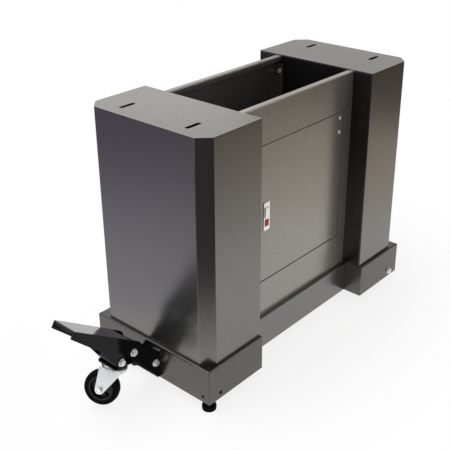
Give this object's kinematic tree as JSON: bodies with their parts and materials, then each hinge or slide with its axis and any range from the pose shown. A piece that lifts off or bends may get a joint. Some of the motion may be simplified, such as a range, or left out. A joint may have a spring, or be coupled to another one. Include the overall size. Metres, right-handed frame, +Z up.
{
  "type": "drum sander stand",
  "caption": "Floor stand for a drum sander: sheet-steel columns on plinths, a storage trough with a latched door, levelling feet, fixed wheels and a foot-pedal caster.",
  "frame": {"origin": "on the floor, under the middle of the bounding box of the stand with its pedal", "axes": "X along the stand with the pedal at -X, Y in depth with the door facing -Y, Z up"},
  "size_m": [0.9562, 0.3506, 0.601],
  "materials": {
    "charcoal": "satin metallic charcoal powder coat",
    "gloss_black": "gloss black paint",
    "zinc": "bright zinc plate",
    "foot_rubber": "matte moulded rubber",
    "wheel_rubber": "matte hard rubber",
    "black_plastic": "matte moulded plastic",
    "latch_silver": "satin chrome on die casting",
    "latch_red": "gloss red plastic"
  },
  "bodies": {
    "stand": {"left_column_shell": "charcoal", "right_column_shell": "charcoal", "left_column_inner_panel": "charcoal", "right_column_inner_panel": "charcoal", "left_column_top": "charcoal", "right_column_top": "charcoal", "left_plinth": "charcoal", "right_plinth": "charcoal", "front_rail": "charcoal", "back_rail": "charcoal", "front_panel": "charcoal", "back_panel": "charcoal", "floor_panel": "charcoal", "panel_bolt_front_left": "zinc", "panel_bolt_front_right": "zinc", "panel_bolt_back_left": "zinc", "panel_bolt_back_right": "zinc", "front_foot_gusset": "charcoal", "back_foot_gusset": "charcoal", "front_foot_locknut": "zinc", "back_foot_locknut": "zinc", "front_wheel_bracket": "zinc", "back_wheel_bracket": "zinc", "front_axle_bolt": "zinc", "back_axle_bolt": "zinc", "front_axle_nut": "zinc", "back_axle_nut": "zinc", "pedal_bracket": "gloss_black", "bracket_bolt_upper": "zinc", "bracket_bolt_lower": "zinc", "pedal_pivot_bolt": "zinc", "pedal_pivot_nut": "zinc", "arm_pivot_bolt": "zinc", "arm_pivot_nut": "zinc", "lower_hinge_pin": "zinc"},
    "door": {"door_panel": "charcoal", "upper_hinge": "zinc", "hinge_screw_upper": "zinc", "hinge_screw_lower": "zinc", "latch_housing": "latch_silver"},
    "latch_turn": {"latch_handle": "latch_silver", "latch_cam": "zinc"},
    "latch_release": {"latch_button": "latch_red"},
    "front_foot": {"front_foot_stud": "zinc", "front_foot_pad": "foot_rubber"},
    "back_foot": {"back_foot_stud": "zinc", "back_foot_pad": "foot_rubber"},
    "front_wheel": {"front_fixed_wheel": "wheel_rubber"},
    "back_wheel": {"back_fixed_wheel": "wheel_rubber"},
    "foot_pedal": {"pedal": "gloss_black", "roller_bolt": "zinc", "roller_nut": "zinc"},
    "roller": {"pedal_roller": "black_plastic"},
    "swing_arm": {"caster_arm": "gloss_black", "caster_head": "zinc"},
    "fork": {"caster_fork": "zinc", "caster_axle_bolt": "zinc", "caster_axle_nut": "zinc"},
    "caster_wheel": {"caster_tyre": "wheel_rubber", "caster_hub": "black_plastic"}
  },
  "joints": [
    {"name": "door_hinge", "type": "hinge", "parent": "stand", "child": "door", "pos_m": [0.25959, -0.1065, 0.191], "axis": [0, 0, 1], "range_deg": [0, 110]},
    {"name": "latch_turn", "type": "hinge", "parent": "door", "child": "latch_turn", "pos_m": [-0.00691, -0.1153, 0.361], "axis": [0, 1, 0], "range_deg": [0, 90]},
    {"name": "latch_button_press", "type": "slide", "parent": "door", "child": "latch_release", "axis": [0, 1, 0], "range_m": [0, 0.0025], "stiffness_N_per_m": 400, "springref_m": -0.002},
    {"name": "front_foot_screw", "type": "slide", "parent": "stand", "child": "front_foot", "axis": [0, 0, 1], "range_m": [-0.02, 0.008]},
    {"name": "back_foot_screw", "type": "slide", "parent": "stand", "child": "back_foot", "axis": [0, 0, 1], "range_m": [-0.02, 0.008]},
    {"name": "front_wheel_spin", "type": "hinge", "parent": "stand", "child": "front_wheel", "pos_m": [0.44009, -0.1315, 0.038], "axis": [0, 1, 0], "continuous": true},
    {"name": "back_wheel_spin", "type": "hinge", "parent": "stand", "child": "back_wheel", "pos_m": [0.44009, 0.1315, 0.038], "axis": [0, 1, 0], "continuous": true},
    {"name": "pedal_press", "type": "hinge", "parent": "stand", "child": "foot_pedal", "pos_m": [-0.32991, 0, 0.1317], "axis": [0, -1, 0], "range_deg": [0, 46]},
    {"name": "roller_spin", "type": "hinge", "parent": "foot_pedal", "child": "roller", "pos_m": [-0.36315, 0, 0.12519], "axis": [0, 1, 0], "continuous": true},
    {"name": "arm_swing", "type": "hinge", "parent": "stand", "child": "swing_arm", "pos_m": [-0.26841, 0, 0.07], "axis": [0, -1, 0], "range_deg": [0, 13.5]},
    {"name": "caster_swivel", "type": "hinge", "parent": "swing_arm", "child": "fork", "pos_m": [-0.35721, 0, 0.10021], "axis": [0.2334, 0, 0.9724], "continuous": true},
    {"name": "caster_wheel_spin", "type": "hinge", "parent": "fork", "child": "caster_wheel", "pos_m": [-0.37906, 0.01871, 0.05006], "axis": [0.8664, 0.454, -0.208], "continuous": true}
  ],
  "couplings": [
    {"joint": "arm_swing", "follows": "pedal_press", "ratio": 0.2934}
  ]
}
